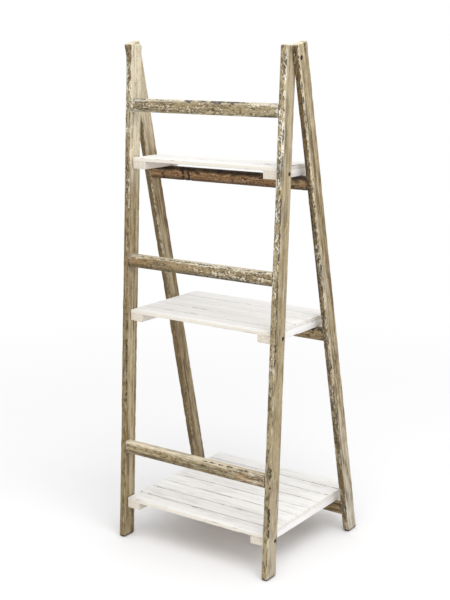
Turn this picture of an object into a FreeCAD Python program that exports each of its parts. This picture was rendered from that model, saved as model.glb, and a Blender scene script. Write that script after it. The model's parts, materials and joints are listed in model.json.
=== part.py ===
import FreeCAD
import Part
import math
import os

# Folding ladder shelf: a front frame and a rear frame of painted boards, screwed
# together near the top, with three slatted shelves hinged between the front legs.
# Millimetres and degrees. +Z is up, +Y is to the rear, +X is to the right.
# The origin is on the floor, in the middle of the standing shelf.

# Boards of both frames
LEG_WIDTH = 15.0
LEG_DEPTH = 36.0
FRONT_LEG_LENGTH = 1086.0
FRONT_LEAN = 2.9
REAR_LEAN = 12.9
FRONT_CLEAR_WIDTH = 367.0
ARRIS_ROUND = 1.5
LEG_TOP_ROUND = 3.0

# Rungs: the lower two front rungs guard the shelves below them, the rear rungs carry the shelves
RUNG_HEIGHT = 28.0
RUNG_THICKNESS = 17.0
LOWER_RUNG_ABOVE_SHELF = 105.7
MIDDLE_RUNG_ABOVE_SHELF = 95.2
UPPER_RUNG_FROM_TOP = 111.5
REAR_RUNG_SETBACK = 3.0
RUNG_SEAT_WIDTH = 6.0

# Dowels that join the rungs to the legs
DOWEL_RADIUS = 3.0
DOWEL_FROM_RUNG_EDGE = 7.0
DOWEL_COVER = 5.0
DOWEL_IN_RUNG = 15.0

# Screws that the two frames fold about: they pass the rear leg and turn into the front leg
HINGE_FROM_FRONT_TOP = 24.0
HINGE_FROM_REAR_TOP = 27.0
HINGE_FROM_EDGE = 8.0
HINGE_SHANK_RADIUS = 3.0
HINGE_HEAD_RADIUS = 4.5
HINGE_HEAD_THICKNESS = 3.0
HINGE_SPACER_RADIUS = 8.0
HINGE_SPACER_THICKNESS = 1.5
HINGE_COVER = 3.0

# Shelves: height of the slats' top faces above the floor
BOTTOM_SHELF_HEIGHT = 93.0
MIDDLE_SHELF_HEIGHT = 520.5
TOP_SHELF_HEIGHT = 849.0
SHELF_FRONT_SETBACK = 8.0
SHELF_REAR_OVERHANG = 27.0
BOTTOM_SLATS = 8
MIDDLE_SLATS = 5
TOP_SLATS = 3
SLAT_GAP = 2.0
SLAT_THICKNESS = 7.5
SLAT_ROUND = 0.8
BATTEN_WIDTH = 33.0
BATTEN_HEIGHT = 16.0
BATTEN_ROUND = 0.8

# Screws that the shelves swing on, and their washers
PIVOT_FROM_LEG_BACK = 9.0
PIVOT_BELOW_SLATS = 5.5
PIVOT_RADIUS = 2.5
PIVOT_HEAD_RADIUS = 4.0
PIVOT_HEAD_THICKNESS = 2.5
PIVOT_IN_BATTEN = 22.0
PIVOT_WASHER_RADIUS = 5.0
PIVOT_WASHER_THICKNESS = 2.0

# Cleats under the battens that catch behind the rear rungs
STOP_LENGTH = 20.0
STOP_WIDTH = 22.0
STOP_DEPTH = 12.0
STOP_SCREW_RADIUS = 1.5
STOP_SCREW_HEAD_RADIUS = 3.0
STOP_SCREW_HEAD_THICKNESS = 2.0
STOP_SCREW_IN_BATTEN = 9.0

# Brads that nail the slats to the battens
BRAD_RADIUS = 0.8
BRAD_HEAD_RADIUS = 1.5
BRAD_HEAD_THICKNESS = 0.8
BRAD_IN_BATTEN = 10.0
BRAD_FROM_SLAT_END = 8.0
BRAD_FROM_SLAT_EDGE = 9.0

# Fits
PIN_CLEARANCE = 0.05
HEAD_CLEARANCE = 0.5
HEAD_SUNK = 0.5
STOP_CLEARANCE = 0.3

# Places worked out from the sizes above
FRONT_ANGLE = math.radians(FRONT_LEAN)
REAR_ANGLE = math.radians(REAR_LEAN)
FRONT_INNER = FRONT_CLEAR_WIDTH / 2
FRONT_OUTER = FRONT_INNER + LEG_WIDTH
REAR_INNER = FRONT_OUTER + HINGE_SPACER_THICKNESS
REAR_OUTER = REAR_INNER + LEG_WIDTH
SHELF_END = FRONT_INNER - PIVOT_WASHER_THICKNESS
BATTEN_INNER = SHELF_END - BATTEN_WIDTH
X_AXIS = FreeCAD.Vector(1, 0, 0)
Y_AXIS = FreeCAD.Vector(0, 1, 0)
Z_AXIS = FreeCAD.Vector(0, 0, 1)
FRONT_LEG_AXIS = FreeCAD.Vector(0, math.sin(FRONT_ANGLE), math.cos(FRONT_ANGLE))
REAR_LEG_AXIS = FreeCAD.Vector(0, -math.sin(REAR_ANGLE), math.cos(REAR_ANGLE))
ALIGNED_WITHIN = math.radians(1)
SIDES = {"left": -1, "right": 1}


# A point on a front leg: distance up from the foot, and back from its front face
def front_leg_point(along, back):
    y = along * math.sin(FRONT_ANGLE) + back * math.cos(FRONT_ANGLE)
    z = along * math.cos(FRONT_ANGLE) - back * math.sin(FRONT_ANGLE)
    return y, z


HINGE_Y, HINGE_Z = front_leg_point(FRONT_LEG_LENGTH - HINGE_FROM_FRONT_TOP, LEG_DEPTH - HINGE_FROM_EDGE)


# A point on a rear leg: distance down from the hinge, and back from its front face
def rear_leg_point(down, back):
    behind_hinge = back - HINGE_FROM_EDGE
    y = HINGE_Y + behind_hinge * math.cos(REAR_ANGLE) + down * math.sin(REAR_ANGLE)
    z = HINGE_Z + behind_hinge * math.sin(REAR_ANGLE) - down * math.cos(REAR_ANGLE)
    return y, z


# How far down a rear leg a given height lies, on a line this far behind its front face
def rear_leg_down(height, back):
    behind_hinge = back - HINGE_FROM_EDGE
    return (HINGE_Z + behind_hinge * math.sin(REAR_ANGLE) - height) / math.cos(REAR_ANGLE)


# A board with the given outline of (y, z) corners, running from x_from to x_to
def prism(corners, x_from, x_to):
    points = [FreeCAD.Vector(min(x_from, x_to), y, z) for y, z in corners]
    outline = Part.makePolygon(points + points[:1])
    return Part.Face(outline).extrude(X_AXIS * abs(x_to - x_from))


# Rounds the edges of a board that run along a direction and lie between two heights
def round_arrises(board, radius, direction, above=-math.inf, below=math.inf):
    edges = []
    for edge in board.Edges:
        runs_along = abs(edge.tangentAt(edge.FirstParameter).dot(direction)) > math.cos(ALIGNED_WITHIN)
        if runs_along and above < edge.CenterOfMass.z < below:
            edges.append(edge)
    return board.makeFillet(radius, edges)


# A round bar along X between two places, about the axis at (y, z)
def bar_along_x(radius, x_from, x_to, y, z):
    start = FreeCAD.Vector(min(x_from, x_to), y, z)
    return Part.makeCylinder(radius, abs(x_to - x_from), start, X_AXIS)


# A round bar along Z between two heights
def bar_along_z(radius, x, y, z_from, z_to):
    return Part.makeCylinder(radius, z_to - z_from, FreeCAD.Vector(x, y, z_from), Z_AXIS)


# A flat ring along X between two places
def ring_along_x(outer_radius, inner_radius, x_from, x_to, y, z):
    disc = bar_along_x(outer_radius, x_from, x_to, y, z)
    return disc.cut(bar_along_x(inner_radius, x_from, x_to, y, z))


class Shelf:
    """Places of one shelf, of its pivot and of the rear rung that it rests on."""

    def __init__(self, name, height, slat_count):
        self.name = name
        self.slat_top = height
        self.slat_bottom = height - SLAT_THICKNESS
        self.batten_bottom = self.slat_bottom - BATTEN_HEIGHT
        self.pivot_z = self.slat_bottom - PIVOT_BELOW_SLATS
        pivot_back = (LEG_DEPTH - PIVOT_FROM_LEG_BACK) / math.cos(FRONT_ANGLE)
        self.pivot_y = self.pivot_z * math.tan(FRONT_ANGLE) + pivot_back
        self.front = height * math.tan(FRONT_ANGLE) + SHELF_FRONT_SETBACK
        self.place_rung()
        self.place_slats(slat_count)

    # The rung's rear top edge is planed level where the battens rest on it
    def place_rung(self):
        rung_back = REAR_RUNG_SETBACK + RUNG_THICKNESS
        planed = RUNG_SEAT_WIDTH * math.sin(REAR_ANGLE) * math.cos(REAR_ANGLE)
        self.rung_top = rear_leg_down(self.batten_bottom + planed, rung_back)
        self.rung_bottom = self.rung_top + RUNG_HEIGHT
        seat_down = rear_leg_down(self.batten_bottom, rung_back)
        self.rung_seat_end = rear_leg_point(seat_down, rung_back)
        stop_back = rung_back + STOP_CLEARANCE
        stop_tip = self.batten_bottom - STOP_DEPTH
        self.stop_top_front = rear_leg_point(rear_leg_down(self.batten_bottom, stop_back), stop_back)
        self.stop_tip_front = rear_leg_point(rear_leg_down(stop_tip, stop_back), stop_back)
        self.stop_rear = self.stop_tip_front[0] + STOP_LENGTH

    # Slats of one width share the depth from the front edge to the overhang behind the stops
    def place_slats(self, slat_count):
        self.rear = self.stop_rear + SHELF_REAR_OVERHANG
        pitch = (self.rear - self.front + SLAT_GAP) / slat_count
        self.slat_width = pitch - SLAT_GAP
        self.slat_fronts = [self.front + pitch * number for number in range(slat_count)]


SHELVES = [
    Shelf("bottom", BOTTOM_SHELF_HEIGHT, BOTTOM_SLATS),
    Shelf("middle", MIDDLE_SHELF_HEIGHT, MIDDLE_SLATS),
    Shelf("top", TOP_SHELF_HEIGHT, TOP_SLATS),
]
# Distance of each front rung's lower edge from the foot, along the leg
FRONT_RUNGS = {
    "lower": (BOTTOM_SHELF_HEIGHT + LOWER_RUNG_ABOVE_SHELF) / math.cos(FRONT_ANGLE),
    "middle": (MIDDLE_SHELF_HEIGHT + MIDDLE_RUNG_ABOVE_SHELF) / math.cos(FRONT_ANGLE),
    "upper": FRONT_LEG_LENGTH - UPPER_RUNG_FROM_TOP - RUNG_HEIGHT,
}
REAR_RUNGS = dict(zip(FRONT_RUNGS, SHELVES))
REAR_FOOT_BACK = rear_leg_point(rear_leg_down(0, LEG_DEPTH), LEG_DEPTH)[0]
DEPTH = max(REAR_FOOT_BACK, SHELVES[0].rear)


# Writes one piece, moved so that the origin is in the middle of the floor area
def export(name, shape):
    placed = shape.copy()
    placed.translate(Y_AXIS * (-DEPTH / 2))
    placed.exportStep("parts/" + name + ".step")


# Axes of the two dowels at each end of a rung, in the middle of its thickness
DOWEL_STEPS = (DOWEL_FROM_RUNG_EDGE, RUNG_HEIGHT - DOWEL_FROM_RUNG_EDGE)


def front_dowel_axes(rung_start):
    return [front_leg_point(rung_start + step, RUNG_THICKNESS / 2) for step in DOWEL_STEPS]


def rear_dowel_axes(shelf):
    middle = REAR_RUNG_SETBACK + RUNG_THICKNESS / 2
    return [rear_leg_point(shelf.rung_top + step, middle) for step in DOWEL_STEPS]


# Dowels on the given axes at both rung ends, from inside the leg to inside the rung
def dowels(axes, inner_face, radius):
    outer_end = inner_face + LEG_WIDTH - DOWEL_COVER
    inner_end = inner_face - DOWEL_IN_RUNG
    bars = []
    for side in SIDES.values():
        for y, z in axes:
            bars.append(bar_along_x(radius, side * inner_end, side * outer_end, y, z))
    return bars


FRONT_DOWEL_AXES = []
for start in FRONT_RUNGS.values():
    FRONT_DOWEL_AXES += front_dowel_axes(start)
REAR_DOWEL_AXES = []
for shelf in SHELVES:
    REAR_DOWEL_AXES += rear_dowel_axes(shelf)
FRONT_DOWEL_HOLES = dowels(FRONT_DOWEL_AXES, FRONT_INNER, DOWEL_RADIUS + PIN_CLEARANCE)
REAR_DOWEL_HOLES = dowels(REAR_DOWEL_AXES, REAR_INNER, DOWEL_RADIUS + PIN_CLEARANCE)


# Front leg: lightly rounded top, foot cut level, holes for hinge screw, shelf pivots and dowels
def front_leg(side):
    corners = [
        (0, 0),
        (LEG_DEPTH / math.cos(FRONT_ANGLE), 0),
        front_leg_point(FRONT_LEG_LENGTH, LEG_DEPTH),
        front_leg_point(FRONT_LEG_LENGTH, 0),
    ]
    inner = side * FRONT_INNER
    outer = side * FRONT_OUTER
    leg = round_arrises(prism(corners, inner, outer), LEG_TOP_ROUND, X_AXIS, above=HINGE_Z)
    leg = round_arrises(leg, ARRIS_ROUND, FRONT_LEG_AXIS)
    hinge_end = side * (FRONT_INNER + HINGE_COVER)
    holes = [bar_along_x(HINGE_SHANK_RADIUS + PIN_CLEARANCE, hinge_end, outer, HINGE_Y, HINGE_Z)]
    recess_floor = side * (FRONT_OUTER - HEAD_SUNK - PIVOT_HEAD_THICKNESS)
    for shelf in SHELVES:
        axis = (shelf.pivot_y, shelf.pivot_z)
        holes.append(bar_along_x(PIVOT_RADIUS + PIN_CLEARANCE, inner, outer, *axis))
        holes.append(bar_along_x(PIVOT_HEAD_RADIUS + HEAD_CLEARANCE, recess_floor, outer, *axis))
    return leg.cut(Part.makeCompound(holes + FRONT_DOWEL_HOLES))


# Rear leg: outside the front leg, foot cut level, recess for the hinge screw's head
def rear_leg(side):
    top = -HINGE_FROM_REAR_TOP
    corners = [
        rear_leg_point(rear_leg_down(0, 0), 0),
        rear_leg_point(rear_leg_down(0, LEG_DEPTH), LEG_DEPTH),
        rear_leg_point(top, LEG_DEPTH),
        rear_leg_point(top, 0),
    ]
    inner = side * REAR_INNER
    outer = side * REAR_OUTER
    leg = round_arrises(prism(corners, inner, outer), LEG_TOP_ROUND, X_AXIS, above=HINGE_Z)
    leg = round_arrises(leg, ARRIS_ROUND, REAR_LEG_AXIS)
    recess_floor = side * (REAR_OUTER - HEAD_SUNK - HINGE_HEAD_THICKNESS)
    holes = [
        bar_along_x(HINGE_SHANK_RADIUS + PIN_CLEARANCE, inner, outer, HINGE_Y, HINGE_Z),
        bar_along_x(HINGE_HEAD_RADIUS + HEAD_CLEARANCE, recess_floor, outer, HINGE_Y, HINGE_Z),
    ]
    return leg.cut(Part.makeCompound(holes + REAR_DOWEL_HOLES))


# Front rung: its front face is flush with the legs' front faces
def front_rung(start):
    end = start + RUNG_HEIGHT
    corners = [
        front_leg_point(start, 0),
        front_leg_point(start, RUNG_THICKNESS),
        front_leg_point(end, RUNG_THICKNESS),
        front_leg_point(end, 0),
    ]
    rung = round_arrises(prism(corners, -FRONT_INNER, FRONT_INNER), ARRIS_ROUND, X_AXIS)
    return rung.cut(Part.makeCompound(FRONT_DOWEL_HOLES))


# Rear rung: its rear top edge is planed level as a seat for the battens
def rear_rung(shelf):
    front = REAR_RUNG_SETBACK
    back = REAR_RUNG_SETBACK + RUNG_THICKNESS
    seat_y, seat_z = shelf.rung_seat_end
    corners = [
        rear_leg_point(shelf.rung_bottom, front),
        rear_leg_point(shelf.rung_bottom, back),
        (seat_y, seat_z),
        (seat_y - RUNG_SEAT_WIDTH, seat_z),
        rear_leg_point(shelf.rung_top, front),
    ]
    rung = round_arrises(prism(corners, -REAR_INNER, REAR_INNER), ARRIS_ROUND, X_AXIS, below=seat_z)
    return rung.cut(Part.makeCompound(REAR_DOWEL_HOLES))


# Hinge screws: head let into the rear leg, point covered by the inside of the front leg
def hinge_screw(side):
    head_outer = side * (REAR_OUTER - HEAD_SUNK)
    head_seat = side * (REAR_OUTER - HEAD_SUNK - HINGE_HEAD_THICKNESS)
    point = side * (FRONT_INNER + HINGE_COVER)
    head = bar_along_x(HINGE_HEAD_RADIUS, head_seat, head_outer, HINGE_Y, HINGE_Z)
    return head.fuse(bar_along_x(HINGE_SHANK_RADIUS, point, head_seat, HINGE_Y, HINGE_Z)).removeSplitter()


def hinge_spacer(side):
    bore = HINGE_SHANK_RADIUS + PIN_CLEARANCE
    faces = (side * FRONT_OUTER, side * REAR_INNER)
    return ring_along_x(HINGE_SPACER_RADIUS, bore, *faces, HINGE_Y, HINGE_Z)


# Brads of one slat: two at each end, heads flush with its top face
def brad_places(shelf, slat_front):
    slat_back = slat_front + shelf.slat_width
    across = (slat_front + BRAD_FROM_SLAT_EDGE, slat_back - BRAD_FROM_SLAT_EDGE)
    ends = [side * (SHELF_END - BRAD_FROM_SLAT_END) for side in SIDES.values()]
    return [(x, y) for x in ends for y in across]


def brads(shelf, slat_front, clearance):
    head_bottom = shelf.slat_top - BRAD_HEAD_THICKNESS
    tip = shelf.slat_bottom - BRAD_IN_BATTEN
    shapes = []
    for x, y in brad_places(shelf, slat_front):
        shank = bar_along_z(BRAD_RADIUS + clearance, x, y, tip, head_bottom)
        head = bar_along_z(BRAD_HEAD_RADIUS + clearance, x, y, head_bottom, shelf.slat_top)
        shapes.append(shank.fuse(head).removeSplitter())
    return shapes


def slat(shelf, slat_front):
    slat_back = slat_front + shelf.slat_width
    corners = [
        (slat_front, shelf.slat_bottom),
        (slat_back, shelf.slat_bottom),
        (slat_back, shelf.slat_top),
        (slat_front, shelf.slat_top),
    ]
    board = round_arrises(prism(corners, -SHELF_END, SHELF_END), SLAT_ROUND, X_AXIS)
    return board.cut(Part.makeCompound(brads(shelf, slat_front, PIN_CLEARANCE)))


# Shelf pivot screw: head let into the front leg, point in the batten
def pivot_screw(shelf, side, clearance):
    head_outer = side * (FRONT_OUTER - HEAD_SUNK)
    head_seat = side * (FRONT_OUTER - HEAD_SUNK - PIVOT_HEAD_THICKNESS)
    point = side * (SHELF_END - PIVOT_IN_BATTEN)
    head = bar_along_x(PIVOT_HEAD_RADIUS, head_seat, head_outer, shelf.pivot_y, shelf.pivot_z)
    shank = bar_along_x(PIVOT_RADIUS + clearance, point, head_seat, shelf.pivot_y, shelf.pivot_z)
    return head.fuse(shank).removeSplitter()


def pivot_washer(shelf, side):
    bore = PIVOT_RADIUS + PIN_CLEARANCE
    faces = (side * SHELF_END, side * FRONT_INNER)
    return ring_along_x(PIVOT_WASHER_RADIUS, bore, *faces, shelf.pivot_y, shelf.pivot_z)


# Stop cleat: its sloped front face follows the back of the rear rung
STOP_INNER = SHELF_END - BATTEN_WIDTH / 2 - STOP_WIDTH / 2
STOP_OUTER = STOP_INNER + STOP_WIDTH


def stop_screw(shelf, side, clearance):
    x = side * (STOP_INNER + STOP_WIDTH / 2)
    y = (shelf.stop_tip_front[0] + shelf.stop_rear) / 2
    head_bottom = shelf.batten_bottom - STOP_DEPTH
    head_top = head_bottom + STOP_SCREW_HEAD_THICKNESS
    point = shelf.batten_bottom + STOP_SCREW_IN_BATTEN
    head = bar_along_z(STOP_SCREW_HEAD_RADIUS + clearance, x, y, head_bottom, head_top)
    shank = bar_along_z(STOP_SCREW_RADIUS + clearance, x, y, head_top, point)
    return head.fuse(shank).removeSplitter()


def stop_cleat(shelf, side):
    corners = [
        shelf.stop_tip_front,
        (shelf.stop_rear, shelf.batten_bottom - STOP_DEPTH),
        (shelf.stop_rear, shelf.batten_bottom),
        shelf.stop_top_front,
    ]
    block = prism(corners, side * STOP_INNER, side * STOP_OUTER)
    return block.cut(stop_screw(shelf, side, PIN_CLEARANCE))


# Batten: as long as the shelf is deep, with holes for brads, pivot and stop screw
def batten(shelf, side):
    corners = [
        (shelf.front, shelf.batten_bottom),
        (shelf.rear, shelf.batten_bottom),
        (shelf.rear, shelf.slat_bottom),
        (shelf.front, shelf.slat_bottom),
    ]
    board = round_arrises(prism(corners, side * BATTEN_INNER, side * SHELF_END), BATTEN_ROUND, Y_AXIS)
    holes = [pivot_screw(shelf, side, PIN_CLEARANCE), stop_screw(shelf, side, PIN_CLEARANCE)]
    for slat_front in shelf.slat_fronts:
        holes += brads(shelf, slat_front, PIN_CLEARANCE)
    return board.cut(Part.makeCompound(holes))


os.makedirs("parts", exist_ok=True)

for side_name, side in SIDES.items():
    export("front_leg_" + side_name, front_leg(side))
    export("rear_leg_" + side_name, rear_leg(side))

for rung_name, start in FRONT_RUNGS.items():
    export("front_rung_" + rung_name, front_rung(start))
export("front_rung_dowels", Part.makeCompound(dowels(FRONT_DOWEL_AXES, FRONT_INNER, DOWEL_RADIUS)))

for rung_name, shelf in REAR_RUNGS.items():
    export("rear_rung_" + rung_name, rear_rung(shelf))
export("rear_rung_dowels", Part.makeCompound(dowels(REAR_DOWEL_AXES, REAR_INNER, DOWEL_RADIUS)))

export("hinge_screws", Part.makeCompound([hinge_screw(side) for side in SIDES.values()]))
export("hinge_spacers", Part.makeCompound([hinge_spacer(side) for side in SIDES.values()]))

for shelf in SHELVES:
    prefix = shelf.name + "_shelf_"
    shelf_brads = []
    for number, slat_front in enumerate(shelf.slat_fronts, 1):
        export(prefix + "slat_" + str(number), slat(shelf, slat_front))
        shelf_brads += brads(shelf, slat_front, 0)
    export(prefix + "brads", Part.makeCompound(shelf_brads))
    for side_name, side in SIDES.items():
        export(prefix + "batten_" + side_name, batten(shelf, side))
        export(prefix + "stop_cleat_" + side_name, stop_cleat(shelf, side))
    screws = [pivot_screw(shelf, side, 0) for side in SIDES.values()]
    washers = [pivot_washer(shelf, side) for side in SIDES.values()]
    stop_screws = [stop_screw(shelf, side, 0) for side in SIDES.values()]
    export(prefix + "pivot_screws", Part.makeCompound(screws))
    export(prefix + "pivot_washers", Part.makeCompound(washers))
    export(prefix + "stop_screws", Part.makeCompound(stop_screws))
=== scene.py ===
import json
import math
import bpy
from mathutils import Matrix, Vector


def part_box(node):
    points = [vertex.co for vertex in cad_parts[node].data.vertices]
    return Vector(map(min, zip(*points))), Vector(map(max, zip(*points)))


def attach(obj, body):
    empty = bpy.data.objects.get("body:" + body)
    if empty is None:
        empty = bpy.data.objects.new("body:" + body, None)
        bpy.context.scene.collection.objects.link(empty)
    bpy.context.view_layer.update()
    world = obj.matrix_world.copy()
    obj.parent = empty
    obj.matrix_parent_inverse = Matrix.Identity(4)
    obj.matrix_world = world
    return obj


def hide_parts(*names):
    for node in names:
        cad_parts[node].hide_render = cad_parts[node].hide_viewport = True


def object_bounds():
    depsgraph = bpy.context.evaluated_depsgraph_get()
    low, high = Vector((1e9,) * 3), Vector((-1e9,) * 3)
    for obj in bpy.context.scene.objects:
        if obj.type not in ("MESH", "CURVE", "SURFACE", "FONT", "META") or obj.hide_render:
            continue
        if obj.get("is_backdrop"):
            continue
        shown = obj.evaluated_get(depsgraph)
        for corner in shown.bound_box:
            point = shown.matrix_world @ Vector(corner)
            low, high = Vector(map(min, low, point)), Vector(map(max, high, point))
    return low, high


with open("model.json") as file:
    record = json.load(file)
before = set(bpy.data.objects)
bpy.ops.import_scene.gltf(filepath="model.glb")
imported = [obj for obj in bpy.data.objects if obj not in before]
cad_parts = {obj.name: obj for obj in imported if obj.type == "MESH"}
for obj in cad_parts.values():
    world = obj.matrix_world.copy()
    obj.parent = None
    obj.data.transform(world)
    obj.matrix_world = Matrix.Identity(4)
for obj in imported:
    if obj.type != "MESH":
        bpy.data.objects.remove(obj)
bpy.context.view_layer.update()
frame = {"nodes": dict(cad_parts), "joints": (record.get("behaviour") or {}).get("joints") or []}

from types import SimpleNamespace

import bmesh
import bpy
from mathutils import Matrix, Vector, noise


# Front legs
# Two planed softwood boards that lean back a little, sawn level at the foot and eased at the top.
# They are painted khaki over cream, then rubbed and chipped back to dark wood along the arrises.
# The heads of the shelves' pivot screws are let into round recesses in the outer faces.
SIDES = {"left": -1, "right": 1}
ACROSS = Vector((1, 0, 0))
UP = Vector((0, 0, 1))
LEG_HALF_WIDTH = 0.0075
LEG_HALF_DEPTH = 0.018
LEG_TOP_ROUND = 0.004
LEG_TOP_SHARE = 0.99
FOOT_WASTE = 0.01
FOOT_ROUND = 0.005
FOOT_SHARE = 0.9
FRONT_LEG_LENGTH = 1.086
FRONT_LEG_MIDDLE = 0.191
FRONT_LEAN = math.radians(2.9)
FRONT_UP = Vector((0, math.sin(FRONT_LEAN), math.cos(FRONT_LEAN)))
FRONT_BACK = Vector((0, math.cos(FRONT_LEAN), -math.sin(FRONT_LEAN)))
PIVOTS = {joint["child"]: Vector(joint["pos_m"]) for joint in frame["joints"]}
HINGE = PIVOTS.pop("rear_frame")
PIVOT_RECESS = {"radius": 0.0045, "depth": 0.003}
RECESS_MARGIN = 0.0018
RECESS_STEPS = 5
ARRIS_ROUND = 0.0024
ARRIS_STEPS = 3
SHARP_ANGLE = math.radians(40)
SQUARE_ON = 0.01
RING_SPACING = 0.003


def saw_board(half):
    """A squared board about its own middle: x is its width, y its depth to the back, z its length."""
    board = bmesh.new()
    bmesh.ops.create_cube(board, size=2)
    bmesh.ops.scale(board, vec=half, verts=board.verts)
    return board


def stand_board(middle, width, depth, length):
    """The matrix that puts a board's width, depth and length along three directions."""
    turned = Matrix((width, depth, length)).transposed().to_4x4()
    return Matrix.Translation(middle) @ turned


def all_of(board):
    return board.verts[:] + board.edges[:] + board.faces[:]


def saw_off(board, place, point, outward):
    """Saws through a point of the room and drops the wood that lies outward of the cut."""
    to_board = place.inverted()
    cut = bmesh.ops.bisect_plane(
        board, geom=all_of(board), plane_co=to_board @ point,
        plane_no=to_board.to_3x3() @ outward, clear_outer=True,
    )
    rim = [item for item in cut["geom_cut"] if isinstance(item, bmesh.types.BMEdge)]
    bmesh.ops.edgeloop_fill(board, edges=rim)


def ease_edges(board, edges, by, steps=ARRIS_STEPS):
    bmesh.ops.bevel(
        board, geom=edges, offset=by, offset_type="OFFSET", segments=steps, profile=0.5,
        affect="EDGES", material=-1,
    )


def sharp_edges(board):
    return [edge for edge in board.edges if edge.calc_face_angle(0) > SHARP_ANGLE]


def long_edges(board, half):
    return [edge for edge in board.edges if abs(edge.verts[0].co.z - edge.verts[1].co.z) > half.z]


WEAR_REACH = 0.0045


def rule_lines(board, half):
    """A line beside each arris, so that wear stays close to it, and rings all along the board."""
    for axis in (0, 1):
        across = Vector((axis == 0, axis == 1, 0))
        for side in (-1, 1):
            offset = side * max(half[axis] - WEAR_REACH, half[axis] / 3)
            bmesh.ops.bisect_plane(
                board, geom=all_of(board), plane_co=across * offset, plane_no=across
            )
    rings = round(2 * half.z / RING_SPACING)
    bmesh.ops.subdivide_edges(board, edges=long_edges(board, half), cuts=rings, use_grid_fill=True)


def saw_leg(half, place):
    """A leg left a little long, sawn level with the floor, then eased at top, foot and arrises."""
    leg = saw_board(half)
    for vert in leg.verts:
        if vert.co.z < 0:
            vert.co.z = -half.z - FOOT_WASTE
    saw_off(leg, place, Vector(), -UP)
    tops = [edge for edge in leg.edges if min(v.co.z for v in edge.verts) > half.z * LEG_TOP_SHARE]
    tops = [edge for edge in tops if abs(edge.verts[0].co.x - edge.verts[1].co.x) > half.x]
    ease_edges(leg, tops, LEG_TOP_ROUND)
    feet = [edge for edge in leg.edges if max(v.co.z for v in edge.verts) < -half.z * FOOT_SHARE]
    ease_edges(leg, feet, FOOT_ROUND)
    ease_edges(leg, sharp_edges(leg), ARRIS_ROUND)
    rule_lines(leg, half)
    return leg


def sink_recess(board, side, centre, radius, depth):
    """A round recess for a screw head, in the face at the given side of the width."""
    reach = radius + RECESS_MARGIN
    for axis in (1, 2):
        along = Vector((0, axis == 1, axis == 2))
        for edge_side in (-1, 1):
            point = centre + along * reach * edge_side
            bmesh.ops.bisect_plane(board, geom=all_of(board), plane_co=point, plane_no=along)
    patch = []
    for face in board.faces:
        off = face.calc_center_median() - centre
        on_face = abs(face.normal.x * side - 1) < SQUARE_ON
        if on_face and abs(off.y) < reach and abs(off.z) < reach:
            patch.append(face)
    floor = bmesh.ops.dissolve_faces(board, faces=patch, use_verts=True)["region"][0]
    bmesh.ops.subdivide_edges(board, edges=floor.edges[:], cuts=RECESS_STEPS)
    bmesh.ops.inset_individual(board, faces=[floor], thickness=RECESS_MARGIN / 2)
    for vert in floor.verts:
        from_centre = vert.co - centre
        from_centre.x = 0
        vert.co = Vector((vert.co.x, centre.y, centre.z)) + from_centre.normalized() * radius
    sunk = bmesh.ops.extrude_discrete_faces(board, faces=[floor])["faces"][0]
    bmesh.ops.translate(board, vec=Vector((-side * depth, 0, 0)), verts=sunk.verts[:])


PAINT_WEAR_DEPTH = 0.0016
# Wear comes and goes along each arris by two noises, a broad one and a close one
BROAD_WEAR_PER_METRE = 8
CLOSE_WEAR_PER_METRE = 60
ARRIS_STEP_ACROSS = 3.1
ARRIS_STEP_BACK = 5.7
RUB_MEAN = 0.45
RUB_BROAD = 0.6
RUB_CLOSE = 0.4
BARE_BROAD = 0.6
BARE_LEVELS = (0.25, 0.8)
SCUFF_LEVELS = (-0.7, 0.1)
RUB_LEVELS = (-0.9, 0.4)
FLAKE_LEVELS = (-0.8, 0.2)
SUNK_ALWAYS = 0.12
SUNK_RUBBED = 0.35
SUNK_BARE = 0.75
CRACK_DEPTH = 0.002
CRACK_BARE = 9.0


def ramp(value, low, high):
    """0 below low, 1 above high, and an even climb between them."""
    return max(0.0, min(1.0, (value - low) / (high - low)))


def amount_at(along, places):
    """The amount at a place along a board, read between the given places."""
    for (start, first), (end, second) in zip(places, places[1:]):
        if start <= along <= end:
            return first + (second - first) * (along - start) / (end - start)
    return 0.0


def amounts_on(arris, along, marks):
    """The amounts of the marks on one arris that reach over a place along it."""
    return [amount for marked, start, end, amount in marks if marked == arris and start < along < end]


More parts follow.
